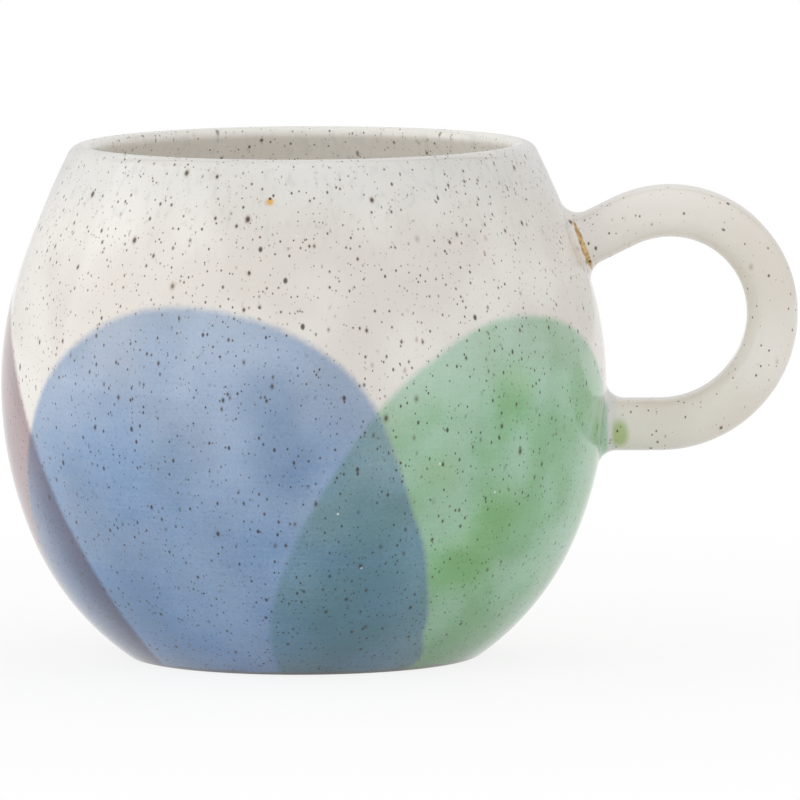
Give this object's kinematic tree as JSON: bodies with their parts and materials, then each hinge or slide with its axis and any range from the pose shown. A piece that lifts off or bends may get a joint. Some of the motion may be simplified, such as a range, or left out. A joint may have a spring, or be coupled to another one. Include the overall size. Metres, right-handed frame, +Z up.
{
  "type": "mug",
  "caption": "Round-bellied stoneware mug with a loop handle, a narrow rounded lip and a small foot ring, in speckled cream glaze with overlapping colour discs.",
  "frame": {"origin": "centre of the foot ring, on the plane that the mug stands on", "axes": "+Z up along the bowl's axis of turning, +X towards the handle, the handle lies in the XZ plane"},
  "size_m": [0.1316, 0.1, 0.085],
  "materials": {
    "bowl_stoneware": "gloss",
    "handle_stoneware": "gloss",
    "slip": "gloss"
  },
  "bodies": {
    "root": {"bowl": "bowl_stoneware", "handle": "handle_stoneware", "upper_slip_joint": "slip", "lower_slip_joint": "slip"}
  },
  "joints": []
}
